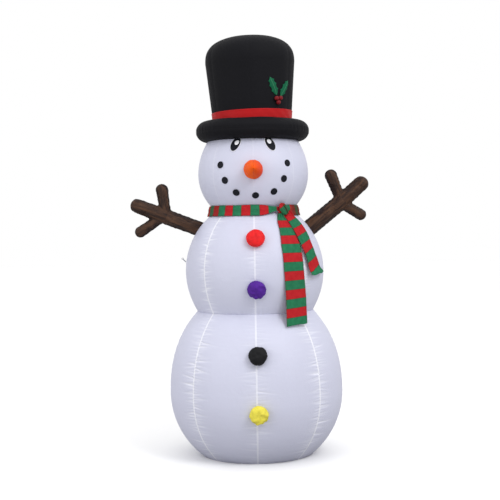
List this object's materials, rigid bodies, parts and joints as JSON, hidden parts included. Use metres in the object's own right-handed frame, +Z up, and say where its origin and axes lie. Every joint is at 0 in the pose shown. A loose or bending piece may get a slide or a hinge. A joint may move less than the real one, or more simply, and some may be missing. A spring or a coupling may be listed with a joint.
{
  "type": "inflatable yard snowman",
  "caption": "Air-filled nylon snowman of stacked balls with a top hat, striped scarf, branch arms, gathered buttons, and an inner fan, lamps, ballast and zipper.",
  "frame": {"origin": "centre of the floor panel, on its underside", "axes": "+Z up along the body, front towards -Y, +X to the right seen from the front"},
  "size_m": [1.3716, 1.0798, 2.4002],
  "materials": {
    "snow_nylon": "thin white ripstop nylon, soft sheen",
    "floor_nylon": "coated white nylon",
    "hat_nylon": "black nylon",
    "band_nylon": "red nylon ribbon",
    "leaf_felt": "green felt",
    "berry_nylon": "dark red nylon",
    "nose_nylon": "orange nylon, stuffed",
    "face_patch": "near-black nylon patch",
    "highlight_patch": "white print",
    "button_red_nylon": "red nylon, gathered",
    "button_purple_nylon": "purple nylon, gathered",
    "button_black_nylon": "black nylon, gathered",
    "button_yellow_nylon": "yellow nylon, gathered",
    "bark_nylon": "brown nylon with a printed bark grain",
    "scarf_cloth": "thin fleece in red and green stripes",
    "webbing": "light grey webbing",
    "eyelet_metal": "nickel-plated brass eyelet",
    "cord_grey": "braided cord",
    "fan_plastic": "moulded black ABS",
    "impeller_plastic": "moulded black nylon",
    "motor_steel": "zinc-plated steel",
    "inlet_plastic": "black plastic",
    "lead_plastic": "green PVC flex",
    "socket_plastic": "green plastic",
    "bulb_plastic": "clear plastic dome, warm white",
    "ballast_cloth": "tan canvas filled with sand",
    "zip_tape": "woven zipper tape",
    "zip_teeth": "white nylon coil",
    "zip_metal": "nickel-plated zinc"
  },
  "bodies": {
    "figure": {"floor_panel": "floor_nylon", "base_skin": "snow_nylon", "chest_skin": "snow_nylon", "head_skin": "snow_nylon", "hat_brim": "hat_nylon", "hat_crown": "hat_nylon", "hat_band": "band_nylon", "holly_leaves": "leaf_felt", "holly_berries": "berry_nylon", "nose": "nose_nylon", "eye_patches": "face_patch", "eye_highlights": "highlight_patch", "mouth_patches": "face_patch", "button_red": "button_red_nylon", "button_purple": "button_purple_nylon", "button_black": "button_black_nylon", "button_yellow": "button_yellow_nylon", "scarf_wrap": "scarf_cloth", "scarf_knot": "scarf_cloth", "tether_loops": "webbing", "stake_tabs": "webbing", "stake_eyelets": "eyelet_metal", "fan_sleeve": "snow_nylon", "fan_drawstring": "cord_grey", "fan_housing": "fan_plastic", "fan_grille": "fan_plastic", "fan_motor_mount": "fan_plastic", "fan_motor": "motor_steel", "fan_screws": "motor_steel", "power_inlet": "inlet_plastic", "lamp_lead_socket": "inlet_plastic", "lamp_strap": "webbing", "lamp_lead": "lead_plastic", "lamp_sockets": "socket_plastic", "lamp_bulbs": "bulb_plastic", "ballast_bags": "ballast_cloth", "zipper_tape": "zip_tape", "zipper_teeth": "zip_teeth"},
    "arm_left": {"arm_left": "bark_nylon"},
    "arm_right": {"arm_right": "bark_nylon"},
    "scarf_tail_long": {"scarf_tail_long": "scarf_cloth"},
    "scarf_tail_short": {"scarf_tail_short": "scarf_cloth"},
    "impeller": {"fan_impeller": "impeller_plastic", "fan_shaft": "motor_steel"},
    "zipper_slider": {"zipper_slider": "zip_metal"},
    "zipper_pull": {"zipper_pull": "zip_metal"}
  },
  "joints": [
    {"name": "arm_left_flex", "type": "hinge", "parent": "figure", "child": "arm_left", "pos_m": [-0.322, 0, 1.301], "axis": [0, 1, 0], "range_deg": [-12, 12], "stiffness_Nm_per_rad": 20},
    {"name": "arm_right_flex", "type": "hinge", "parent": "figure", "child": "arm_right", "pos_m": [0.325, 0, 1.299], "axis": [0, -1, 0], "range_deg": [-12, 10], "stiffness_Nm_per_rad": 20},
    {"name": "scarf_long_tail_swing", "type": "hinge", "parent": "figure", "child": "scarf_tail_long", "pos_m": [0.14787, -0.2277, 1.366], "axis": [-0.8387, -0.5446, 0], "range_deg": [0, 60]},
    {"name": "scarf_short_tail_swing", "type": "hinge", "parent": "figure", "child": "scarf_tail_short", "pos_m": [0.21248, -0.16901, 1.366], "axis": [-0.6225, -0.7826, 0], "range_deg": [0, 60]},
    {"name": "impeller_spin", "type": "hinge", "parent": "figure", "child": "impeller", "pos_m": [0, 0.5, 0.24], "axis": [0, 1, 0], "continuous": true},
    {"name": "zipper_slide", "type": "hinge", "parent": "figure", "child": "zipper_slider", "pos_m": [0, 0, 0.37], "axis": [0, 0, -1], "range_deg": [0, 27]},
    {"name": "zipper_pull_flip", "type": "hinge", "parent": "zipper_slider", "child": "zipper_pull", "pos_m": [0.08076, 0.50417, 0.37], "axis": [0, 0, 1], "range_deg": [0, 150]}
  ]
}
